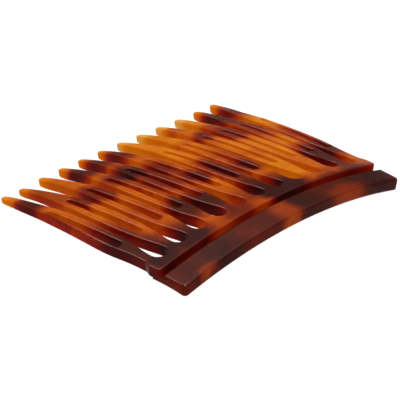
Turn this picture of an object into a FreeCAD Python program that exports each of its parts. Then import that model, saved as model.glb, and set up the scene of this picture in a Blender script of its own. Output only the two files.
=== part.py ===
"""Decorative side comb: an arched plate of looped teeth, lapped onto a spine bar and bonded to it.

Sizes are in millimetres. The comb is first drawn flat, with u along the spine and v from the spine
towards the tooth tips, and then curved over an arch whose convex face is up. Last of all it is laid
down on its concave side, on the ends of the spine and the tips of the two end teeth.
"""
import FreeCAD, Part
import math
import os

V = FreeCAD.Vector

# Driving dimensions of the toothed plate
TEETH = 12
PITCH = 8.0
PLATE_BACK_V = 9.2
GAP_END_V = 13.0
TIP_V = 68.6
PLATE_HALF_LENGTH = 45.8
PLATE_THICK_BASE = 3.4
PLATE_THICK_TIP = 2.6
PLATE_CORNER_R = 1.2
PLATE_EDGE_R = 0.25

# Driving dimensions of the spine bar, with its ledge under the plate's strip
BAR_FRONT_V = 1.2
BAR_BACK_V = 8.0
BAR_LEFT_U = -46.1
BAR_RIGHT_U = 46.9
BAR_THICK = 3.7
BAR_BACK_DROP = 0.85
BAR_SLOPE = 0.123
BAR_CORNER_R = 1.4
BAR_EDGE_R = 0.8
LEDGE_START_V = 6.0
LEDGE_END_V = 12.2
LEDGE_DROP = 2.0
LEDGE_THICK = 1.4

# The arch along the spine has this curvature at the gap ends, and fades towards the tips
ARCH_BASE = 0.0043
ARCH_FADE = 0.0000635

# From the gap ends the teeth first rise and then bend down over this length
BEND_LENGTH = 52.0
BEND_LIFT = 3.53
BEND_FALL = 5.97

# Tooth: half widths at distances from the gap ends, between the round gap end and the round tip
GAP_R = 2.35
TOOTH_SIDE = ((7.0, 2.3), (13.0, 2.95), (21.0, 3.28), (29.0, 3.15), (37.0, 2.6), (46.0, 1.7))
TIP_R = 1.05
TIP_TURN = math.radians(5.0)

# The outer side of the two end teeth has its own shape, and their tips lean inwards
END_SIDE = ((7.0, 1.4), (14.0, 2.1), (22.0, 1.95), (30.0, 1.55), (38.0, 1.15), (45.0, 0.95))
END_LEAN = 1.0
END_LEAN_START = 27.0
SHOULDER_V = 12.5
SHOULDER_LENGTH = 2.4
SHOULDER_OUT = 0.8

# Slot that opens each tooth into a loop
SLOT_BASE_V = 24.4
SLOT_TIP_V = 51.3
SLOT_BASE_R = 1.25
SLOT_TIP_R = 0.7

# Each row of ends is drawn back towards the spine by this much at u = 50, growing as u squared
DRAW_REF = 50.0
GAP_DRAW = 0.8
SLOT_BASE_DRAW = 0.7
SLOT_TIP_DRAW = 1.9
TIP_DRAW = 1.8

# Working blanks: the curved sheet, and the upright levels the outlines are cut between
SLAB_START_V = 7.0
SLAB_END_V = 72.0
SLAB_SECTIONS = 8
SLAB_HALF_WIDTH = 50.0
CUT_TOP = 3.0
CUT_BOTTOM = -12.0


def arch_curvature(v):
    """Curvature of the sheet along the spine, at distance v."""
    return ARCH_BASE - ARCH_FADE * (v - GAP_END_V)


def bend(v):
    """Height and slope of the plate's top face along its middle line."""
    t = (v - GAP_END_V) / BEND_LENGTH
    height = BEND_LIFT * t ** 2 - BEND_FALL * t ** 3
    slope = (2.0 * BEND_LIFT * t - 3.0 * BEND_FALL * t ** 2) / BEND_LENGTH
    return height, slope


def plate_thickness(v):
    """The sheet is thinned evenly from the gap ends to the tips."""
    share = (v - GAP_END_V) / (TIP_V - GAP_END_V)
    return PLATE_THICK_BASE + (PLATE_THICK_TIP - PLATE_THICK_BASE) * share


def drawn_back(v, u, draw):
    return v - draw * (u / DRAW_REF) ** 2


def arc_band(v):
    """Section of the curved sheet in the plane at v: two arcs about one centre, with straight ends."""
    outer = 1.0 / arch_curvature(v)
    inner = outer - plate_thickness(v)
    centre_z = bend(v)[0] - outer
    reach = math.asin(SLAB_HALF_WIDTH / outer)

    def at(r, angle):
        return V(r * math.sin(angle), v, centre_z + r * math.cos(angle))

    top = Part.Arc(at(outer, -reach), at(outer, 0.0), at(outer, reach)).toShape()
    right = Part.makeLine(at(outer, reach), at(inner, reach))
    bottom = Part.Arc(at(inner, reach), at(inner, 0.0), at(inner, -reach)).toShape()
    left = Part.makeLine(at(inner, -reach), at(outer, -reach))
    return Part.Wire([top, right, bottom, left])


def curved_sheet():
    """The bent and thinned sheet, before the teeth are cut."""
    step = (SLAB_END_V - SLAB_START_V) / (SLAB_SECTIONS - 1)
    return Part.makeLoft([arc_band(SLAB_START_V + i * step) for i in range(SLAB_SECTIONS)], True, False)


def plan_spline(points, start, end):
    """Smooth edge through plan points, leaving and arriving along the given directions."""
    curve = Part.BSplineCurve()
    curve.interpolate(
        Points=[V(x, y, 0) for x, y in points],
        InitialTangent=V(start[0], start[1], 0),
        FinalTangent=V(end[0], end[1], 0),
        Scale=False,
    )
    return curve.toShape()


def plan_arc(cx, cy, r, first, last):
    """Plan arc about (cx, cy), angles in degrees."""
    angles = [math.radians(a) for a in (first, (first + last) / 2.0, last)]
    return Part.Arc(*[V(cx + r * math.cos(a), cy + r * math.sin(a), 0) for a in angles]).toShape()


def tooth_axis(i):
    return (i - (TEETH - 1) / 2.0) * PITCH


def end_side(i):
    """-1 for the first tooth, 1 for the last and 0 for the others."""
    return {0: -1, TEETH - 1: 1}.get(i, 0)


def lean(i, distance):
    """The two end teeth lean towards the middle of the comb near their tips."""
    share = max(0.0, distance - END_LEAN_START) / (TIP_V - GAP_END_V - END_LEAN_START)
    return -end_side(i) * END_LEAN * share ** 2


def tip_centre(i):
    u = tooth_axis(i)
    return u + lean(i, TIP_V - GAP_END_V), drawn_back(TIP_V, u, TIP_DRAW) - TIP_R


def gap_centre_v(u):
    return drawn_back(GAP_END_V, u, GAP_DRAW) + GAP_R


def tooth_side(i, side):
    """One long side of a tooth, from its root to where its round tip starts. side is -1 or 1."""
    u = tooth_axis(i)
    tip_u, tip_v = tip_centre(i)
    tip = (tip_u + side * TIP_R * math.cos(TIP_TURN), tip_v + TIP_R * math.sin(TIP_TURN))
    if side == end_side(i):
        root = (side * (PLATE_HALF_LENGTH - SHOULDER_OUT), SHOULDER_V + SHOULDER_LENGTH)
        middle = [(u + side * w, GAP_END_V + d) for d, w in END_SIDE]
    else:
        gap_u = u + side * PITCH / 2.0
        root = (gap_u - side * GAP_R, gap_centre_v(gap_u))
        middle = [(u + side * w + lean(i, d), GAP_END_V + d) for d, w in TOOTH_SIDE]
    taper = (-side * math.sin(TIP_TURN), math.cos(TIP_TURN))
    return plan_spline([root] + middle + [tip], (0, 1), taper)


def plate_end(side):
    """Edges at one end of the plate: its rounded back corner, its end and the shoulder."""
    half = side * PLATE_HALF_LENGTH
    corner_v = PLATE_BACK_V + PLATE_CORNER_R
    inner = (half - side * SHOULDER_OUT, SHOULDER_V + SHOULDER_LENGTH)
    first, last = (-90.0, 0.0) if side > 0 else (-90.0, -180.0)
    return [
        plan_arc(half - side * PLATE_CORNER_R, corner_v, PLATE_CORNER_R, first, last),
        Part.makeLine(V(half, corner_v, 0), V(half, SHOULDER_V, 0)),
        plan_spline([(half, SHOULDER_V), inner], (0, 1), (0, 1)),
    ]


def plate_outline():
    """Outline of the plate seen from above, up and down every tooth in turn."""
    edges = plate_end(-1)
    turn = math.degrees(TIP_TURN)
    for i in range(TEETH):
        tip_u, tip_v = tip_centre(i)
        edges += [tooth_side(i, -1), plan_arc(tip_u, tip_v, TIP_R, 180.0 - turn, turn), tooth_side(i, 1)]
        if end_side(i) < 1:
            gap_u = tooth_axis(i) + PITCH / 2.0
            edges.append(plan_arc(gap_u, gap_centre_v(gap_u), GAP_R, 180.0, 360.0))
    edges += plate_end(1)
    reach = PLATE_HALF_LENGTH - PLATE_CORNER_R
    edges.append(Part.makeLine(V(reach, PLATE_BACK_V, 0), V(-reach, PLATE_BACK_V, 0)))
    return Part.Wire(Part.__sortEdges__(edges))


def slot_outline(i):
    """Tapered slot with round ends: two arcs joined by the straight lines that touch both."""
    u = tooth_axis(i)
    low = drawn_back(SLOT_BASE_V, u, SLOT_BASE_DRAW) + SLOT_BASE_R
    high = drawn_back(SLOT_TIP_V, u, SLOT_TIP_DRAW) - SLOT_TIP_R
    tilt = math.asin((SLOT_BASE_R - SLOT_TIP_R) / (high - low))
    cos, sin = math.cos(tilt), math.sin(tilt)
    edges = [
        plan_arc(u, low, SLOT_BASE_R, 180.0 - math.degrees(tilt), 360.0 + math.degrees(tilt)),
        plan_arc(u, high, SLOT_TIP_R, math.degrees(tilt), 180.0 - math.degrees(tilt)),
    ]
    for side in (-1, 1):
        start = V(u + side * SLOT_BASE_R * cos, low + SLOT_BASE_R * sin, 0)
        end = V(u + side * SLOT_TIP_R * cos, high + SLOT_TIP_R * sin, 0)
        edges.append(Part.makeLine(start, end))
    return Part.Wire(Part.__sortEdges__(edges))


def arched(profile, left, right):
    """Solid swept along the arch of the spine from a profile in (v, height), between two u values."""
    radius = 1.0 / arch_curvature(BAR_BACK_V / 2.0)
    axis_point = V(0, 0, -radius)
    wire = Part.makePolygon([V(0, v, height) for v, height in profile + profile[:1]])
    face = Part.Face(wire)
    face.rotate(axis_point, V(0, 1, 0), math.degrees(left / radius))
    return face.revolve(axis_point, V(0, 1, 0), math.degrees((right - left) / radius))


def ledge(top, start_v, end_v, left, right):
    """Strip under the plate's base, from a given top height down to the bar's underside."""
    return arched([(start_v, top), (end_v, top), (end_v, underside(end_v)), (start_v, underside(start_v))],
                  left, right)


def underside(v):
    """Height of the spine bar's flat underside in the middle of the comb."""
    front = bar_top(BAR_FRONT_V) - BAR_THICK
    end = -LEDGE_DROP - LEDGE_THICK
    return front + (end - front) * (v - BAR_FRONT_V) / (LEDGE_END_V - BAR_FRONT_V)


def bar_top(v):
    return -BAR_BACK_DROP + BAR_SLOPE * (v - BAR_BACK_V)


def is_front_corner(edge):
    """True for the two upright edges at the front corners of the bar."""
    box = edge.BoundBox
    return box.YMax < BAR_FRONT_V + BAR_EDGE_R and box.XLength < BAR_THICK


def spine_bar():
    """The bar, rounder at its two front corners, with the ledge that carries the plate's strip."""
    profile = [
        (BAR_FRONT_V, bar_top(BAR_FRONT_V)),
        (BAR_BACK_V, bar_top(BAR_BACK_V)),
        (BAR_BACK_V, underside(BAR_BACK_V)),
        (BAR_FRONT_V, underside(BAR_FRONT_V)),
    ]
    bar = arched(profile, BAR_LEFT_U, BAR_RIGHT_U)
    bar = bar.makeFillet(BAR_CORNER_R, [edge for edge in bar.Edges if is_front_corner(edge)])
    bar = bar.makeFillet(BAR_EDGE_R, bar.Edges)
    return bar.fuse(ledge(-LEDGE_DROP, LEDGE_START_V, LEDGE_END_V, BAR_LEFT_U, -BAR_LEFT_U)).removeSplitter()


def tooth_plate():
    """The curved sheet cut to its outline, its edges rounded, and its strip thinned over the ledge."""
    face = Part.Face([plate_outline()] + [slot_outline(i) for i in range(TEETH)])
    face.translate(V(0, 0, CUT_BOTTOM))
    plate = curved_sheet().common(face.extrude(V(0, 0, CUT_TOP - CUT_BOTTOM))).Solids[0]
    top_and_bottom = sorted(plate.Faces, key=lambda side: side.Area)[-2:]
    plate = plate.makeFillet(PLATE_EDGE_R, [edge for side in top_and_bottom for edge in side.Edges])
    return plate.cut(ledge(-LEDGE_DROP, SLAB_START_V, LEDGE_END_V, -SLAB_HALF_WIDTH, SLAB_HALF_WIDTH))


def end_height(u, v, height):
    """Height of a point near one end of the comb, once the arch has dropped it."""
    k = arch_curvature(v)
    return height * math.cos(k * u) + (math.cos(k * u) - 1.0) / k


def lay_down(plate, bar):
    """Rest the comb on the front ends of its spine and its end tips, centred over the origin."""
    u, tip_v = tip_centre(0)
    tip_bottom = end_height(u, tip_v, bend(tip_v)[0] - plate_thickness(tip_v))
    spine_bottom = end_height(BAR_LEFT_U, BAR_FRONT_V, underside(BAR_FRONT_V))
    span = TIP_V - BAR_FRONT_V
    tilt_both(plate, bar, math.atan2(spine_bottom - tip_bottom, span))
    rounding = bar.optimalBoundingBox().ZMin - plate.optimalBoundingBox().ZMin
    tilt_both(plate, bar, math.atan2(rounding, span))
    box = Part.makeCompound([plate, bar]).optimalBoundingBox()
    for piece in (plate, bar):
        piece.translate(V(-box.Center.x, -box.Center.y, -box.ZMin))


def tilt_both(plate, bar, angle):
    for piece in (plate, bar):
        piece.rotate(V(0, 0, 0), V(1, 0, 0), math.degrees(angle))


if __name__ == "__main__":
    os.makedirs("parts", exist_ok=True)
    nodes = {"tooth_plate": tooth_plate(), "spine_bar": spine_bar()}
    lay_down(nodes["tooth_plate"], nodes["spine_bar"])
    for name, shape in nodes.items():
        shape.exportStep("parts/" + name + ".step")
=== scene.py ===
import math

import bpy
import numpy as np
from mathutils import Matrix, Vector
from mathutils.geometry import delaunay_2d_cdt


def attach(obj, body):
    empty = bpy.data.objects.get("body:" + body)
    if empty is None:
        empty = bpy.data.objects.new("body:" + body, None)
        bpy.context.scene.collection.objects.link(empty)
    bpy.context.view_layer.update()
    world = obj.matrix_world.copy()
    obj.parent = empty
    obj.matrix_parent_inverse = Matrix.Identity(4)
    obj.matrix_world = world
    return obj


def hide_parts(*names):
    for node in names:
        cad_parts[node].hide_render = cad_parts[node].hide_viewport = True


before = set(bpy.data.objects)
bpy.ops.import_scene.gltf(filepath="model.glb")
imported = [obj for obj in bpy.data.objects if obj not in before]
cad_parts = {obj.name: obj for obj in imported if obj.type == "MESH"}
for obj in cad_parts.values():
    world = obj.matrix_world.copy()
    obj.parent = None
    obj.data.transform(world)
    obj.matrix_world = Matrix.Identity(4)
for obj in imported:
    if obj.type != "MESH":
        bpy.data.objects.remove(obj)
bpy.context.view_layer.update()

# The comb is drawn in millimetres, flat, with u along the spine and v from the spine to the tips.
# It is then curved over its arch and laid down as the frame has it.
TEETH = 12
PITCH = 8.0
PLATE_BACK_V = 9.2
GAP_END_V = 13.0
TIP_V = 68.6
PLATE_HALF = 46.1
PLATE_CORNER_R = 1.2
THICK_BASE, THICK_TIP = 3.4, 2.6
EDGE_R = 0.4
LOWER_EDGE_R = 0.3
# Where the plate and the bar's ledge meet, their edges are crisp
SEAT_EDGE_R, LEDGE_EDGE_R = 0.02, 0.03
# The tips are rounded off from below, and a little from above
NOSE_LENGTH, NOSE_CUT, NOSE_DROP = 5.0, 0.42, 0.05
# The tips stand a little out of line: how far up, by u, over a stretch that starts at these v
TIP_U = (-44.0, -36.0, -28.0, 20.0, 28.0, 36.0, 44.0)
TIP_LIFT = (0.0, -0.4, 0.0, 0.1, 0.2, 0.5, 1.0)
LIFT_START = (46.0, 46.0, 48.0, 54.0, 56.0, 56.0, 57.0)
# The first two teeth are also thinner towards their tips
TIP_THIN = (0.6, 0.5, 0.0, 0.0, 0.0, 0.0, 0.0)
THIN_START, THIN_LENGTH = 48.0, 14.0
BAR_FRONT_V, BAR_BACK_V = 1.2, 8.0
BAR_LEFT_U, BAR_RIGHT_U = -46.1, 46.9
BAR_THICK = 3.7
BAR_CORNER_R, BAR_EDGE_R = 1.4, 0.8
# The front corners' rounding fades out this far behind the bar's front
BAR_CORNER_FADE = 3.0
# The bar's back edge above, and the foot of the groove behind it
BAR_BACK_R, GROOVE_R = 0.5, 0.2
BAR_BACK_DROP, BAR_SLOPE = 0.85, 0.123
# The ledge stops 0.15 mm short of the frame's, to keep its line clear of the rounded gap ends
LEDGE_END_V, LEDGE_DROP, LEDGE_THICK = 12.05, 2.0, 1.4
# Half the width of the step from the seat over the ledge to the plate's full thickness
SEAM = 0.005
ARCH_BASE, ARCH_FADE = 0.0043, 0.0000635
BEND_LENGTH, BEND_LIFT, BEND_FALL = 52.0, 3.53, 5.97
GAP_R, TIP_R, TIP_TURN = 2.35, 1.05, 5.0
TOOTH_SIDE = ((7.0, 2.3), (13.0, 2.95), (21.0, 3.28), (29.0, 3.15), (37.0, 2.6), (46.0, 1.7))
END_SIDE = ((7.0, 1.4), (14.0, 2.1), (22.0, 1.95), (30.0, 1.55), (38.0, 1.15), (45.0, 0.95))
END_LEAN, END_LEAN_START = 1.0, 27.0
SHOULDER_V, SHOULDER_LENGTH, SHOULDER_OUT = 12.5, 2.4, 0.8
SLOT_BASE_V, SLOT_TIP_V = 24.4, 51.3
SLOT_BASE_R, SLOT_TIP_R = 1.25, 0.7
# Each row of ends is drawn back towards the spine by this much at u = 50, growing as u squared
DRAW_REF = 50.0
GAP_DRAW, SLOT_BASE_DRAW, SLOT_TIP_DRAW, TIP_DRAW = 0.8, 0.7, 1.9, 1.8
# How the frame lays the comb down: a tilt about X in degrees and then a move
REST_TILT = -3.4624
REST_MOVE = (0.0, -34.4436, 10.3349)
REST = np.array(Matrix.Rotation(math.radians(REST_TILT), 3, "X"))
# Points inside the plate's faces: their spacing, how clear of the edges they stay and their range
FACE_STEP, FACE_CLEAR = 1.6, 0.6
FACE_U, FACE_V = (-46.0, 46.5), (11.6, 68.0)
# Points along the seat's step, and how far from the plate's ends they stop
SEAT_POINTS, SEAT_CLEAR = 45, 1.5
# The camera, in the comb's own frame: its turn in degrees, what it looks at and from how far
CAMERA_AZIMUTH, CAMERA_ELEVATION, CAMERA_ROLL = -50.32, 24.66, 1.62
CAMERA_TARGET, CAMERA_DISTANCE = (-14.706, 22.416, 0.0), 561.23
SENSOR_WIDTH, LENS_LENGTH = 36.0, 193.06


def arch_curvature(v):
    """Curvature along the spine, at distance v."""
    return ARCH_BASE - ARCH_FADE * (v - GAP_END_V)


BAR_RADIUS = 1.0 / arch_curvature(BAR_BACK_V / 2.0)


def bend(v):
    """Height and slope of the plate's top face along its middle line."""
    t = (v - GAP_END_V) / BEND_LENGTH
    height = BEND_LIFT * t**2 - BEND_FALL * t**3
    return height, (2.0 * BEND_LIFT * t - 3.0 * BEND_FALL * t**2) / BEND_LENGTH


def thickness(v):
    """The plate is thinned evenly from the gap ends to the tips."""
    share = (v - GAP_END_V) / (TIP_V - GAP_END_V)
    return THICK_BASE + (THICK_TIP - THICK_BASE) * share


def laid_down(points):
    """Comb millimetres to metres in the row frame."""
    return (points @ REST.T + np.array(REST_MOVE)) * 0.001


def unit(rows):
    return rows / np.linalg.norm(rows, axis=1)[:, None]


# ---------------------------------------------------------------- flat outlines


def spline(points, start, end, step=0.6):
    """Smooth curve through the points with given directions at its ends, without its last point."""
    p = np.array(points, float)
    h = np.hypot(*np.diff(p, axis=0).T)
    t = np.concatenate([[0.0], np.cumsum(h)])
    # the slopes at the points make the curve's second derivative continuous
    rows = np.eye(len(p))
    side = np.zeros_like(p)
    side[0], side[-1] = start, end
    for i in range(1, len(p) - 1):
        rows[i, i - 1 : i + 2] = h[i], 2.0 * (h[i - 1] + h[i]), h[i - 1]
        side[i] = 3.0 * (h[i] * (p[i] - p[i - 1]) / h[i - 1] + h[i - 1] * (p[i + 1] - p[i]) / h[i])
    slopes = np.linalg.solve(rows, side)
    s = np.linspace(0.0, t[-1], int(np.ceil(t[-1] / step)) + 1)[:-1]
    i = np.clip(np.searchsorted(t, s, side="right") - 1, 0, len(h) - 1)
    x = ((s - t[i]) / h[i])[:, None]
    span = h[i][:, None]
    return (
        (1 + 2 * x) * (1 - x) ** 2 * p[i]
        + x * (1 - x) ** 2 * span * slopes[i]
        + x**2 * (3 - 2 * x) * p[i + 1]
        + x**2 * (x - 1) * span * slopes[i + 1]
    )


def arc(cu, cv, r, first, last, step=12.0):
    """Points on an arc, angles in degrees, without its last point."""
    count = int(np.ceil(abs(last - first) / step))
    a = np.radians(first + (last - first) * np.arange(count) / count)
    return np.stack([cu + r * np.cos(a), cv + r * np.sin(a)], axis=1)


def line(a, b, step=0.7):
    """Points on a straight line, without its last point."""
    a, b = np.array(a, float), np.array(b, float)
    count = max(1, int(np.ceil(np.linalg.norm(b - a) / step)))
    return a + (b - a) * (np.arange(count) / count)[:, None]


def tooth_axis(i):
    return (i - (TEETH - 1) / 2.0) * PITCH


def end_side(i):
    """-1 for the first tooth, 1 for the last and 0 for the others."""
    return {0: -1, TEETH - 1: 1}.get(i, 0)


def drawn_back(v, u, draw):
    """The v of a row of ends at u, from its v in the middle."""
    return v - draw * (u / DRAW_REF) ** 2


def lean(i, distance):
    """The two end teeth lean towards the middle of the comb near their tips."""
    share = max(0.0, distance - END_LEAN_START) / (TIP_V - GAP_END_V - END_LEAN_START)
    return -end_side(i) * END_LEAN * share**2


def tip_centre(i):
    u = tooth_axis(i)
    return u + lean(i, TIP_V - GAP_END_V), drawn_back(TIP_V, u, TIP_DRAW) - TIP_R


def gap_centre_v(u):
    return drawn_back(GAP_END_V, u, GAP_DRAW) + GAP_R


def tooth_side(i, side):
    """One long side of a tooth from root to tip, as corner points and end directions."""
    u = tooth_axis(i)
    tip_u, tip_v = tip_centre(i)
    turn = math.radians(TIP_TURN)
    tip = (tip_u + side * TIP_R * math.cos(turn), tip_v + TIP_R * math.sin(turn))
    if side == end_side(i):
        root = (side * (PLATE_HALF - SHOULDER_OUT), SHOULDER_V + SHOULDER_LENGTH)
        middle = [(u + side * w, GAP_END_V + d) for d, w in END_SIDE]
    else:
        gap_u = u + side * PITCH / 2.0
        root = (gap_u - side * GAP_R, gap_centre_v(gap_u))
        middle = [(u + side * w + lean(i, d), GAP_END_V + d) for d, w in TOOTH_SIDE]
    return [root, *middle, tip], (0.0, 1.0), (-side * math.sin(turn), math.cos(turn))


def plate_outline():
    """Clockwise round the plate, starting at the left end of its back edge."""
    r, back, half = PLATE_CORNER_R, PLATE_BACK_V, PLATE_HALF
    up_end = [
        (-half, back + r),
        (-half, LEDGE_END_V - SEAM),
        (-half, LEDGE_END_V + SEAM),
        (-half, SHOULDER_V),
    ]
    root = (-half + SHOULDER_OUT, SHOULDER_V + SHOULDER_LENGTH)
    stretches = [arc(-half + r, back + r, r, 270.0, 180.0)]
    stretches += [line(a, b) for a, b in zip(up_end, up_end[1:])]
    stretches.append(spline([up_end[-1], root], (0.0, 1.0), (0.0, 1.0), 0.3))
    for i in range(TEETH):
        points, start, end = tooth_side(i, -1)
        stretches.append(spline(points, start, end))
        tip_u, tip_v = tip_centre(i)
        stretches.append(arc(tip_u, tip_v, TIP_R, 180.0 - TIP_TURN, TIP_TURN))
        points, start, end = tooth_side(i, 1)
        stretches.append(spline(points[::-1], (-end[0], -end[1]), (0.0, -1.0)))
        if i < TEETH - 1:
            gap_u = tooth_axis(i) + PITCH / 2.0
            stretches.append(arc(gap_u, gap_centre_v(gap_u), GAP_R, 180.0, 360.0, 8.0))
    stretches.append(spline([(-root[0], root[1]), (half, SHOULDER_V)], (0.0, -1.0), (0.0, -1.0), 0.3))
    down_end = [(-u, v) for u, v in up_end[::-1]]
    stretches += [line(a, b) for a, b in zip(down_end, down_end[1:])]
    stretches.append(arc(half - r, back + r, r, 360.0, 270.0))
    stretches.append(line((half - r, back), (r - half, back)))
    return np.concatenate(stretches)


def slot_outline(i):
    """Anticlockwise round a slot, so that the acetate is again on the right."""
    u = tooth_axis(i)
    low = drawn_back(SLOT_BASE_V, u, SLOT_BASE_DRAW) + SLOT_BASE_R
    high = drawn_back(SLOT_TIP_V, u, SLOT_TIP_DRAW) - SLOT_TIP_R
    tilt = math.asin((SLOT_BASE_R - SLOT_TIP_R) / (high - low))
    turn = math.degrees(tilt)
    base = [(u + s * SLOT_BASE_R * math.cos(tilt), low + SLOT_BASE_R * math.sin(tilt)) for s in (-1, 1)]
    tip = [(u + s * SLOT_TIP_R * math.cos(tilt), high + SLOT_TIP_R * math.sin(tilt)) for s in (-1, 1)]
    return np.concatenate([
        arc(u, low, SLOT_BASE_R, 180.0 - turn, 360.0 + turn),
        line(base[1], tip[1]),
        arc(u, high, SLOT_TIP_R, turn, 180.0 - turn),
        line(tip[0], base[0]),
    ])


def inward(loop):
    """Unit directions into the acetate, which is on the right of the direction of travel."""
    along = unit(np.roll(loop, -1, axis=0) - np.roll(loop, 1, axis=0))
    return np.stack([along[:, 1], -along[:, 0]], axis=1)


# ---------------------------------------------------------------- meshes


def inside(points, loops):
    """Which points lie inside the loops, counting crossings."""
    hits = np.zeros(len(points), int)
    x, y = points[:, 0][:, None], points[:, 1][:, None]
    for loop in loops:
        a, b = loop, np.roll(loop, -1, axis=0)
        cross = (a[:, 1] > y) != (b[:, 1] > y)
        rise = np.where(b[:, 1] == a[:, 1], 1.0, b[:, 1] - a[:, 1])
        at = a[:, 0] + (y - a[:, 1]) * (b[:, 0] - a[:, 0]) / rise
        hits += (cross & (x < at)).sum(axis=1)
    return hits % 2 == 1


def fill(loops, spare, lines=()):
    """Triangles that fill the loops, through the spare points and along the extra lines."""
    points = np.concatenate([*loops, spare]) if len(spare) else np.concatenate(loops)
    edges, first = [], 0
    for loop in loops:
        n = len(loop)
        edges += [(first + i, first + (i + 1) % n) for i in range(n)]
        first += n
    edges += list(lines)
    out = delaunay_2d_cdt([Vector(p) for p in points], edges, [], 0, 1e-5)
    source = np.array([o[0] if o else -1 for o in out[3]])
    tris = source[np.array([f for f in out[2] if len(f) == 3])]
    tris = tris[(tris >= 0).all(axis=1)]
    tris = tris[inside(points[tris].mean(axis=1), loops)]
    a, b, c = (points[tris[:, i]] for i in range(3))
    turn = (b[:, 0] - a[:, 0]) * (c[:, 1] - a[:, 1]) - (b[:, 1] - a[:, 1]) * (c[:, 0] - a[:, 0])
    tris[turn < 0] = tris[turn < 0][:, ::-1]
    return tris


def ring_walls(sizes, rings):
    """Quads between rings, each ring being one copy of all the loops."""
    quads, total = [], sum(sizes)
    for ring in range(rings - 1):
        first = ring * total
        for n in sizes:
            i = np.arange(n)
            j = (i + 1) % n
            quads.append(first + np.stack([i, j, j + total, i + total], axis=1))
            first += n
    return np.concatenate(quads)


def make_piece(name, points, normals, faces, as_built):
    """Links a mesh. Its normals are the given ones, or the mesh's own where as_built is 1."""
    mesh = bpy.data.meshes.new(name)
    mesh.from_pydata(laid_down(points).tolist(), [], faces)
    mesh.polygons.foreach_set("use_smooth", [True] * len(mesh.polygons))
    mesh.update()
    normals = unit(normals) @ REST.T
    found = np.array([v.normal for v in mesh.vertices])
    normals = unit(normals * (1.0 - as_built[:, None]) + found * as_built[:, None])
    mesh.normals_split_custom_set_from_vertices(normals.tolist())
    piece = bpy.data.objects.new(name, mesh)
    bpy.context.scene.collection.objects.link(piece)
    return piece


def nose(flat):
    """0 along the teeth, rising to 1 at their tips as a quarter circle does."""
    u, v = flat[:, 0], flat[:, 1]
    reach = np.clip((drawn_back(TIP_V, u, TIP_DRAW) - v) / NOSE_LENGTH, 0.0, 1.0)
    return 1.0 - np.sqrt(1.0 - (1.0 - reach) ** 2)


def tip_lift(flat):
    """How far the plate is lifted out of line at each point, growing towards the tips."""
    u, v = flat[:, 0], flat[:, 1]
    start = np.interp(u, TIP_U, LIFT_START)
    return np.interp(u, TIP_U, TIP_LIFT) * np.clip((v - start) / (TIP_V - 2.0 - start), 0.0, 1.0)


def over_plate(flat, depth, normal):
    """Curves flat points of the plate, at depths below its top face, with their normals."""
    u, v = flat[:, 0], flat[:, 1]
    k = arch_curvature(v)
    height, slope = bend(v)
    cos, sin = np.cos(k * u), np.sin(k * u)
    top = np.stack([sin / k, v, (cos - 1.0) / k + height], axis=1)
    up = unit(np.stack([sin, -slope * cos, cos], axis=1))
    right = unit(np.stack([cos, np.zeros_like(u), -sin], axis=1))
    out = np.cross(up, right)
    turned = normal[:, :1] * right + normal[:, 1:2] * out + normal[:, 2:] * up
    return top + (tip_lift(flat) - depth - NOSE_DROP * nose(flat))[:, None] * up, turned


def plate_depth(flat):
    """Depth of the plate's underside, which is cut shallower where the bar's ledge carries it."""
    u, v = flat[:, 0], flat[:, 1]
    k = arch_curvature(v)
    top = (np.cos(k * u) - 1.0) / k + bend(v)[0]
    seat = -BAR_RADIUS + np.sqrt((BAR_RADIUS - LEDGE_DROP) ** 2 - u**2)
    thin = np.interp(u, TIP_U, TIP_THIN) * np.clip((v - THIN_START) / THIN_LENGTH, 0.0, 1.0)
    full = (thickness(v) - thin) * (1.0 - NOSE_CUT * nose(flat))
    return np.where(v < LEDGE_END_V, (top - seat) * np.cos(k * u), full)


def profile(steps, walls):
    """Rings down a rounded edge: shares of the radius inwards and down, then the normal's two parts."""
    a = np.radians(90.0 * np.arange(steps + 1) / steps)
    upper = [(1 - math.sin(t), 1 - math.cos(t), 0.0, math.sin(t), math.cos(t)) for t in a]
    middle = [(0.0, 1.0 - 2.0 * s, s, 1.0, 0.0) for s in np.arange(1, walls) / walls]
    lower = [(i, -d, 1.0, o, -n) for i, d, _, o, n in upper[::-1]]
    return upper + middle + lower


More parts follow.
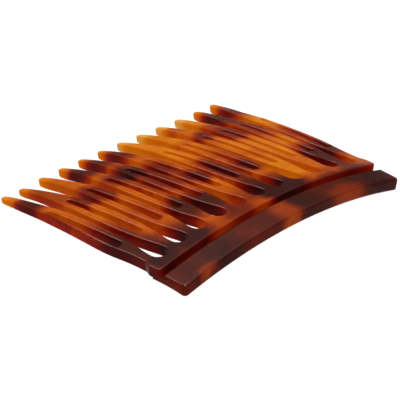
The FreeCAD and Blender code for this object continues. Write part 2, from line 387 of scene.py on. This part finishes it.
def tooth_plate():
    """The plate: rounded walls round its outline and its slots, closed by a top and a bottom face."""
    loops = [plate_outline()] + [slot_outline(i) for i in range(TEETH)]
    sizes = [len(loop) for loop in loops]
    flat = np.concatenate(loops)
    into = np.concatenate([inward(loop) for loop in loops])
    points, normals = [], []
    rings = profile(5, 4)
    for inset, down, share, out, up in rings:
        r = np.full(len(flat), EDGE_R)
        if share > 0.5:
            r = np.where(flat[:, 1] < LEDGE_END_V, SEAT_EDGE_R, LOWER_EDGE_R)
        at = flat + into * (inset * r)[:, None]
        depth = down * r + share * plate_depth(at)
        normal = np.concatenate([-into * out, np.full((len(flat), 1), up)], axis=1)
        p, n = over_plate(at, depth, normal)
        points.append(p)
        normals.append(n)
    faces = ring_walls(sizes, len(rings)).tolist()
    edge_loops = np.split(flat + into * EDGE_R, np.cumsum(sizes)[:-1])
    spare, lines = face_points(edge_loops)
    tris = fill(edge_loops, spare, lines)
    total, last = len(flat), (len(rings) - 1) * len(flat)
    extra = len(rings) * total
    for side, first, shift in ((1, 0, extra), (-1, last, extra + len(spare))):
        ids = np.where(tris < total, tris + first, tris - total + shift)
        faces += ids[:, ::side].tolist()
        depth = np.zeros(len(spare)) if side > 0 else plate_depth(spare)
        normal = np.tile([0.0, 0.0, float(side)], (len(spare), 1))
        p, n = over_plate(spare, depth, normal)
        points.append(p)
        normals.append(n)
    points = np.concatenate(points)
    # the last stretch of the teeth, which the noses round off, takes the mesh's own normals
    near_tip = np.clip((points[:, 1] - TIP_V + 6.0) / 2.0, 0.0, 1.0)
    return make_piece("tooth_plate_shell", points, np.concatenate(normals), faces, near_tip)


def face_points(loops):
    """Points inside the plate's faces, so that they can curve, and the two lines of the seat's step."""
    grid = np.stack(np.meshgrid(np.arange(*FACE_U, FACE_STEP), np.arange(*FACE_V, FACE_STEP)), axis=-1)
    grid = grid.reshape(-1, 2)
    grid = grid[inside(grid, loops)]
    edge = np.concatenate(loops)
    near = np.array([np.min(np.hypot(*(edge - p).T)) for p in grid])
    grid = grid[near > FACE_CLEAR]
    count = SEAT_POINTS
    across = np.linspace(-PLATE_HALF + SEAT_CLEAR, PLATE_HALF - SEAT_CLEAR, count)
    steps = [np.stack([across, np.full(count, LEDGE_END_V + s)], axis=1) for s in (-SEAM, SEAM)]
    first = sum(len(loop) for loop in loops) + len(grid)
    starts = [first + k * count + i for k in (0, 1) for i in range(count - 1)]
    lines = [(start, start + 1) for start in starts]
    return np.concatenate([grid, *steps]), lines


def rounded(corners):
    """Closed loop through corners of (v, height, radius), with round corners."""
    stretches = []
    count = len(corners)
    pts = [np.array(c[:2], float) for c in corners]
    ends = []
    for i in range(count):
        p, r = pts[i], corners[i][2]
        back, ahead = pts[i - 1] - p, pts[(i + 1) % count] - p
        back, ahead = back / np.linalg.norm(back), ahead / np.linalg.norm(ahead)
        half = math.acos(np.clip(back @ ahead, -1, 1)) / 2.0
        reach = r / math.tan(half)
        centre = p + (back + ahead) / np.linalg.norm(back + ahead) * r / math.sin(half)
        ends.append((p + back * reach, p + ahead * reach, centre, r))
    for i in range(count):
        start, finish, centre, r = ends[i]
        a = math.degrees(math.atan2(*(start - centre)[::-1]))
        b = math.degrees(math.atan2(*(finish - centre)[::-1]))
        b += 360.0 * round((a - b) / 360.0)
        stretches.append(arc(centre[0], centre[1], r, a, b, 15.0))
        stretches.append(line(finish, ends[(i + 1) % count][0], 0.8))
    return np.concatenate(stretches)


def bar_top(v):
    return -BAR_BACK_DROP + BAR_SLOPE * (v - BAR_BACK_V)


def underside(v):
    """Height of the bar's flat underside, which runs on under the ledge."""
    front, end = bar_top(BAR_FRONT_V) - BAR_THICK, -LEDGE_DROP - LEDGE_THICK
    return front + (end - front) * (v - BAR_FRONT_V) / (LEDGE_END_V - BAR_FRONT_V)


def over_bar(flat, u, normal):
    """Curves points of the bar's section along its arch, with their normals."""
    angle = u / BAR_RADIUS
    cos, sin = np.cos(angle), np.sin(angle)
    r = BAR_RADIUS + flat[:, 1]
    points = np.stack([r * sin, flat[:, 0], r * cos - BAR_RADIUS], axis=1)
    right = np.stack([cos, 0.0 * cos, -sin], axis=1)
    up = np.stack([sin, 0.0 * cos, cos], axis=1)
    out = np.tile([0.0, 1.0, 0.0], (len(flat), 1))
    return points, normal[:, :1] * out + normal[:, 1:2] * up + normal[:, 2:] * right


def spine_bar():
    """The bar and its ledge, as one section carried along the arch."""
    section = rounded([
        (BAR_FRONT_V, bar_top(BAR_FRONT_V), BAR_EDGE_R),
        (BAR_BACK_V, bar_top(BAR_BACK_V), BAR_BACK_R),
        (BAR_BACK_V, -LEDGE_DROP, GROOVE_R),
        (LEDGE_END_V, -LEDGE_DROP, LEDGE_EDGE_R),
        (LEDGE_END_V, underside(LEDGE_END_V), LEDGE_EDGE_R),
        (BAR_FRONT_V, underside(BAR_FRONT_V), BAR_EDGE_R),
    ])
    into = inward(section)
    # crisp where the ledge meets the plate, round everywhere else
    under_plate = section[:, 0] > BAR_BACK_V + 0.05
    under_plate &= section[:, 1] > -LEDGE_DROP - 0.5 * LEDGE_THICK
    along_end = np.interp(section[:, 0], [BAR_BACK_V, LEDGE_END_V], [BAR_EDGE_R, LOWER_EDGE_R])
    r = np.where(under_plate, LEDGE_EDGE_R, along_end)
    rings = [(i * r, BAR_RIGHT_U - d * r, o, n) for i, d, s, o, n in profile(5, 2) if s == 0.0]
    near_right = np.linspace(BAR_RIGHT_U - BAR_EDGE_R, BAR_RIGHT_U - BAR_CORNER_R, 4)
    middle = np.linspace(BAR_RIGHT_U - 2.0, BAR_LEFT_U + 2.0, 76)
    near_left = np.linspace(BAR_LEFT_U + BAR_CORNER_R, BAR_LEFT_U + BAR_EDGE_R, 4)
    for u in [*near_right, *middle, *near_left]:
        rings.append((0.0 * r, np.full(len(r), u), 1.0, 0.0))
    rings += [(i * r, BAR_LEFT_U - d * r, o, n) for i, d, s, o, n in profile(5, 2) if s == 1.0]
    points, normals, corner = [], [], []
    for inset, u, out, along in rings:
        at = section + into * inset[:, None]
        # the two front corners are round seen from above
        from_end = np.minimum(BAR_RIGHT_U - u, u - BAR_LEFT_U)
        reach = np.clip(BAR_CORNER_R - from_end, 0.0, BAR_CORNER_R)
        drawn_in = BAR_CORNER_R - np.sqrt(BAR_CORNER_R**2 - reach**2)
        at[:, 0] += drawn_in * np.clip(1.0 - (at[:, 0] - BAR_FRONT_V) / BAR_CORNER_FADE, 0.0, 1.0)
        # the ledge stops flush with the plate, a little before the bar's right end
        cut = (u > PLATE_HALF) & (at[:, 0] > BAR_BACK_V)
        at[:, 0] = np.where(cut, BAR_BACK_V, at[:, 0])
        normal = np.concatenate([-into * out, np.full((len(at), 1), along)], axis=1)
        p, n = over_bar(at, u, normal)
        points.append(p)
        normals.append(n)
        turned = (from_end < BAR_CORNER_R) & (at[:, 0] < BAR_FRONT_V + BAR_CORNER_FADE)
        corner.append(np.where(turned, 1.0, 0.0))
    faces = ring_walls([len(section)], len(rings)).tolist()
    tris = fill([at], np.zeros((0, 2)))
    faces += tris.tolist()
    faces += (tris + (len(rings) - 1) * len(section))[:, ::-1].tolist()
    points, normals, corner = (np.concatenate(rows) for rows in (points, normals, corner))
    return make_piece("spine_bar_shell", points, normals, faces, corner)


# ---------------------------------------------------------------- material


class Nodes:
    """Short calls for adding shader nodes and joining them."""

    def __init__(self, tree):
        self.tree = tree

    def add(self, kind, **inputs):
        node = self.tree.nodes.new(kind)
        for name, value in inputs.items():
            self.set(node, name.replace("_", " "), value)
        return node

    def set(self, node, name, value):
        socket = node.inputs[int(name)] if name.isdigit() else node.inputs[name]
        if isinstance(value, bpy.types.NodeSocket):
            self.tree.links.new(value, socket)
        else:
            socket.default_value = value

    def math(self, operation, a, b=0.0, clamp=False):
        node = self.add("ShaderNodeMath")
        node.operation = operation
        node.use_clamp = clamp
        self.set(node, "0", a)
        self.set(node, "1", b)
        return node.outputs[0]

    def vector(self, operation, a, b=(0.0, 0.0, 0.0)):
        node = self.add("ShaderNodeVectorMath")
        node.operation = operation
        self.set(node, "0", a)
        self.set(node, "1", b)
        return node.outputs["Value" if operation == "LENGTH" else "Vector"]

    def ramp(self, value, stops):
        """Colour from stops of (position, colour), in order of position."""
        node = self.add("ShaderNodeValToRGB", Fac=value)
        band = node.color_ramp
        for at, _ in stops[1:-1]:
            band.elements.new(at)
        band.elements[0].position = stops[0][0]
        band.elements[-1].position = stops[-1][0]
        for stop, (_, colour) in zip(band.elements, stops):
            stop.color = (*colour, 1.0)
        return node.outputs["Color"]

    def smooth(self, value, low, high, to_low=0.0, to_high=1.0):
        node = self.add("ShaderNodeMapRange", Value=value)
        node.interpolation_type = "SMOOTHSTEP"
        for name, v in (("From Min", low), ("From Max", high), ("To Min", to_low), ("To Max", to_high)):
            self.set(node, name, v)
        return node.outputs["Result"]

    def noise(self, vector, scale, colour=False):
        node = self.add("ShaderNodeTexNoise", Vector=vector, Scale=scale, Detail=2.0)
        return node.outputs["Color" if colour else "Fac"]

    def mix(self, share, a, b):
        node = self.add("ShaderNodeMix")
        node.data_type = "RGBA"
        for socket, value in ((0, share), (6, a), (7, b)):
            if isinstance(value, bpy.types.NodeSocket):
                self.tree.links.new(value, node.inputs[socket])
            else:
                node.inputs[socket].default_value = value
        return node.outputs[2]


# Dark (+) and light (-) patches of the shell pattern: centre u, v, half sizes and strength
PLATE_PATCHES = (
    # the strip
    (0, 10, 60, 5, 0.15), (-37, 11, 9, 4.5, 0.42), (-12, 11, 5, 4, 0.25), (8, 11.5, 8, 5, 0.52),
    (34, 11, 4, 4, 0.08), (30, 8.9, 18, 1.6, 0.25),
    # the teeth from left to right
    (-43, 22, 6.2, 12, 0.55), (-46.5, 44, 2.5, 9, 0.28), (-44, 56, 4, 4, 0.5), (-35, 17, 4, 5, 0.25),
    (-34, 46, 3, 4, 0.3), (-36, 31, 3, 4, 0.1), (-36, 58, 4, 12, 0.16), (-28, 14, 5, 6, 0.5),
    (-28, 28, 4, 8, 0.13), (-28, 46, 3.5, 6, 0.42), (-20, 22.5, 4, 6, 0.6), (-17.5, 28, 2, 3, 0.25),
    (-17.5, 38, 2, 6, 0.2), (-19, 48, 4, 4, 0.38), (-20, 60, 4, 5, 0.53), (-13, 21.5, 4, 6.5, 0.62),
    (-12, 39, 4, 8, 0.38), (-13, 49, 4, 4.5, 0.6), (-12, 61, 4.5, 6, 0.48), (-4, 16, 5, 4, 0.15),
    (-4, 33.5, 3.5, 4.5, 0.58), (-5.5, 44, 3.5, 5.5, 0.38), (-4.5, 61, 4, 5, 0.46), (4, 16, 5, 7, 0.58),
    (4, 31.5, 3.5, 8, 0.55), (4, 55, 4, 12, -0.15), (4, 68, 4, 4, -0.15), (12, 16, 4, 5, 0.25),
    (12, 28.5, 3.5, 4.5, 0.46), (12, 37, 4, 5, 0.12), (12, 57, 4, 12, -0.13), (12, 51, 3, 2.5, 0.12),
    (12, 68, 4, 4, -0.15), (20, 21, 4, 10, -0.1), (20, 39, 4, 5, -0.13), (20, 50.5, 3.5, 3.2, 0.38),
    (20, 60, 3, 2.5, 0.1), (20, 68, 4, 4, -0.15), (28, 33, 4, 8, -0.15), (28, 46.8, 4, 5, 0.4),
    (28, 53, 4, 3, 0.12), (28, 62, 4, 5, -0.2), (28, 68, 4, 4, -0.15), (36, 21, 5.5, 8.5, 0.6),
    (36, 34, 3, 4, -0.15), (36, 46, 4, 7, 0.28), (36, 59, 4, 6.5, 0.56), (44, 24, 4, 5, 0.45),
    (44, 34, 4, 7, 0.25), (44, 48, 4, 5, -0.2), (44, 60.5, 4, 5.5, 0.38),
)
BAR_PATCHES = (
    (-44, 3, 3, 6, -0.1), (-36, 1.5, 3, 1.5, -0.3), (-28, 4, 5, 5, 0.05), (-18, 4, 4, 5, -0.1),
    (-2, 4, 4.5, 6, -0.38), (8, 5, 6, 6, 0.1), (22.5, 2, 7, 4, -0.33), (40, 5, 9, 6, 0.1),
)
# How far and how finely the patches are warped, and two noises that vary the ground between them
WARP_REACH, WARP_SCALE = 4.0, 0.2
GROUND_DEPTH, GROUND_SCALE = 0.05, 0.09
FINE_DEPTH, FINE_SCALE = 0.012, 0.5
# The ends of the teeth fade to this share of their darkness, between these distances from the tips:
# painted light through the thin ends
TIP_FADE, TIP_FADE_START, TIP_FADE_END = 0.25, 7.5, 0.5
PLATE_GROUND, BAR_GROUND = 0.32, 0.9
# Colours of the polished faces from light to dark
FACES = (
    (0.0, (0.60, 0.31, 0.080)), (0.12, (0.55, 0.175, 0.005)), (0.3, (0.43, 0.092, 0.003)),
    (0.45, (0.30, 0.044, 0.002)), (0.6, (0.18, 0.019, 0.002)), (0.8, (0.085, 0.009, 0.002)),
    (1.0, (0.035, 0.005, 0.003)),
)
# Colours of the cut walls from light to dark, which are redder between the teeth: a painted-lit copy of
# the faces' colours, also shown as a painted glow on the walls
PLATE_WALL_COLOURS_AND_GLOW = (
    (0.0, (0.60, 0.31, 0.06)), (0.12, (0.56, 0.145, 0.001)), (0.3, (0.46, 0.082, 0.001)),
    (0.45, (0.33, 0.025, 0.001)), (0.6, (0.19, 0.006, 0.001)), (0.8, (0.078, 0.002, 0.001)),
    (1.0, (0.025, 0.002, 0.002)),
)
# The bar's cut walls from light to dark: likewise a painted-lit copy of the colours, also shown as a
# painted glow
BAR_WALL_COLOURS_AND_GLOW = (
    (0.0, (0.60, 0.31, 0.06)), (0.12, (0.56, 0.19, 0.003)), (0.3, (0.48, 0.12, 0.003)),
    (0.45, (0.36, 0.065, 0.002)), (0.6, (0.22, 0.026, 0.002)), (0.8, (0.09, 0.006, 0.001)),
    (1.0, (0.025, 0.003, 0.002)),
)


def shell_darkness(n, patches, base):
    """0 where the acetate is clear honey to 1 where it is nearly black."""
    metres = n.add("ShaderNodeTexCoord").outputs["Object"]
    place = n.vector("MULTIPLY", metres, (1000.0, 1000.0, 1000.0))
    place = n.vector("ADD", place, (0.0, -REST_MOVE[1], 0.0))
    drift = n.vector("SUBTRACT", n.noise(place, WARP_SCALE, True), (0.5, 0.5, 0.5))
    warped = n.vector("ADD", place, n.vector("MULTIPLY", drift, (WARP_REACH, WARP_REACH, 0.0)))
    ground = (base - GROUND_DEPTH, base + GROUND_DEPTH)
    total = n.smooth(n.noise(warped, GROUND_SCALE), 0.3, 0.7, *ground)
    fine = n.smooth(n.noise(place, FINE_SCALE), 0.3, 0.7, -FINE_DEPTH, FINE_DEPTH)
    total = n.math("ADD", total, fine)
    for u, v, half_u, half_v, strength in patches:
        away = n.vector("SUBTRACT", warped, (u, v, 0.0))
        away = n.vector("MULTIPLY", away, (1.0 / half_u, 1.0 / half_v, 0.0))
        total = n.math("ADD", total, n.smooth(n.vector("LENGTH", away), 1.5, 0.35, 0.0, strength))
    # painted light: the thin ends of the teeth are made paler, as light coming through them would make
    # them
    flat = n.add("ShaderNodeSeparateXYZ", Vector=place).outputs
    drawn_in = n.math("MULTIPLY", n.math("MULTIPLY", flat["X"], flat["X"]), TIP_DRAW / DRAW_REF**2)
    reach = n.math("ADD", flat["Y"], drawn_in)
    tip = n.smooth(reach, TIP_V - TIP_FADE_START, TIP_V - TIP_FADE_END, 1.0, TIP_FADE)
    return n.math("MULTIPLY", total, tip, True)


def acetate(name, patches, base, walls):
    """Polished acetate: the pattern in its colour, and a painted glow, light of its own, on the cut
    walls.
    """
    material = bpy.data.materials.new(name)
    material.use_nodes = True
    tree = material.node_tree
    tree.nodes.clear()
    n = Nodes(tree)
    dark = shell_darkness(n, patches, base)
    face = n.ramp(dark, FACES)
    wall_colour_and_glow = n.ramp(dark, walls)
    # level is 0 on the upright walls and 1 on the faces; the walls take the painted-lit copy of the
    # colours, dimmed by a quarter
    normal = n.add("ShaderNodeNewGeometry").outputs["Normal"]
    tilt = n.math("ABSOLUTE", n.add("ShaderNodeSeparateXYZ", Vector=normal).outputs["Z"])
    level = n.smooth(tilt, 0.3, 0.85)
    colour = n.mix(level, n.vector("MULTIPLY", wall_colour_and_glow, (0.75, 0.75, 0.75)), face)
    shader = n.add("ShaderNodeBsdfPrincipled", Base_Color=colour, Roughness=0.18, IOR=1.47)
    shine = n.smooth(dark, 0.15, 0.75, 0.07, 0.28)
    shine = n.math("MULTIPLY", n.smooth(level, 0.0, 1.0, 0.1, 1.0), shine)
    # the rounded upper edges are polished and catch the light
    edge = n.math("MULTIPLY", n.smooth(tilt, 0.5, 0.75), n.smooth(tilt, 0.88, 0.97, 0.11, 0.0))
    n.set(shader, "Specular IOR Level", n.math("ADD", shine, edge))
    n.set(shader, "Subsurface Weight", 0.6)
    n.set(shader, "Subsurface Radius", (1.0, 0.35, 0.12))
    n.set(shader, "Subsurface Scale", 0.002)
    # painted glow: the cut walls give off their own colour, standing in for light that has come through
    # the acetate
    n.set(shader, "Emission Color", wall_colour_and_glow)
    n.set(shader, "Emission Strength", n.smooth(level, 0.0, 1.0, 0.42, 0.0))
    n.add("ShaderNodeOutputMaterial", Surface=shader.outputs[0])
    return material


def floor_material():
    """White all over, with its contact shade nearly lost in its own light."""
    material = bpy.data.materials.new("floor")
    material.use_nodes = True
    shader = material.node_tree.nodes["Principled BSDF"]
    shader.inputs["Base Color"].default_value = (0.08, 0.08, 0.08, 1.0)
    shader.inputs["Roughness"].default_value = 1.0
    shader.inputs["Specular IOR Level"].default_value = 0.0
    shader.inputs["Emission Color"].default_value = (1.0, 1.0, 1.0, 1.0)
    shader.inputs["Emission Strength"].default_value = 1.0
    return material


# ---------------------------------------------------------------- floor, light and camera


def floor():
    mesh = bpy.data.meshes.new("floor")
    half, below = 3.0, -0.00005
    corners = [(-half, -half, below), (half, -half, below), (half, half, below), (-half, half, below)]
    mesh.from_pydata(corners, [], [(0, 1, 2, 3)])
    mesh.materials.append(floor_material())
    piece = bpy.data.objects.new("floor", mesh)
    bpy.context.scene.collection.objects.link(piece)


def soft_light(name, place, size, power):
    """Area light at a place, in metres and watts, turned to the comb."""
    light = bpy.data.lights.new(name, "AREA")
    light.shape = "RECTANGLE"
    light.size, light.size_y = size
    light.energy = power
    lamp = bpy.data.objects.new(name, light)
    lamp.location = place
    lamp.rotation_euler = (-Vector(place)).to_track_quat("-Z", "Y").to_euler()
    bpy.context.scene.collection.objects.link(lamp)


def studio():
    """Dim at the horizon and brighter overhead, with two soft lights."""
    world = bpy.data.worlds.new("studio")
    world.use_nodes = True
    n = Nodes(world.node_tree)
    direction = n.add("ShaderNodeTexCoord").outputs["Generated"]
    height = n.add("ShaderNodeSeparateXYZ", Vector=direction).outputs["Z"]
    glow = n.ramp(height, [
        (0.0, (0.1, 0.1, 0.1)), (0.2, (0.06, 0.06, 0.06)), (0.45, (0.09, 0.09, 0.09)),
        (0.65, (0.35, 0.35, 0.35)), (0.95, (0.8, 0.8, 0.8)),
    ])
    background = world.node_tree.nodes["Background"]
    n.set(background, "Color", glow)
    bpy.context.scene.world = world
    soft_light("overhead", (-0.05, -0.1, 1.0), (0.6, 0.6), 8.0)
    soft_light("behind", (-0.1, 0.58, 0.81), (0.5, 0.3), 3.0)


def camera():
    """Placed in the comb's own frame and then laid down with it."""
    azimuth, elevation = math.radians(CAMERA_AZIMUTH), math.radians(CAMERA_ELEVATION)
    roll = math.radians(CAMERA_ROLL)
    back = np.array([
        math.sin(azimuth) * math.cos(elevation),
        -math.cos(azimuth) * math.cos(elevation),
        math.sin(elevation),
    ])
    right = np.array([math.cos(azimuth), math.sin(azimuth), 0.0])
    up = np.cross(back, right)
    turned = math.cos(roll) * right + math.sin(roll) * up
    up = -math.sin(roll) * right + math.cos(roll) * up
    place = np.array(CAMERA_TARGET) + back * CAMERA_DISTANCE
    axes = REST @ np.stack([turned, up, back], axis=1)
    matrix = np.eye(4)
    matrix[:3, :3] = axes
    matrix[:3, 3] = laid_down(place)
    lens = bpy.data.cameras.new("camera")
    lens.sensor_width = SENSOR_WIDTH
    lens.lens = LENS_LENGTH
    lens.clip_start = 0.01
    view = bpy.data.objects.new("camera", lens)
    view.matrix_world = Matrix(matrix.tolist())
    bpy.context.scene.collection.objects.link(view)
    bpy.context.scene.camera = view


# ---------------------------------------------------------------- the comb


for make, node, patches, base, walls in (
    (tooth_plate, "tooth_plate", PLATE_PATCHES, PLATE_GROUND, PLATE_WALL_COLOURS_AND_GLOW),
    (spine_bar, "spine_bar", BAR_PATCHES, BAR_GROUND, BAR_WALL_COLOURS_AND_GLOW),
):
    piece = make()
    piece.data.materials.append(acetate(node + "_acetate", patches, base, walls))
    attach(piece, "root")
    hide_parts(node)

floor()
studio()
camera()
bpy.context.scene.view_settings.view_transform = "Standard"
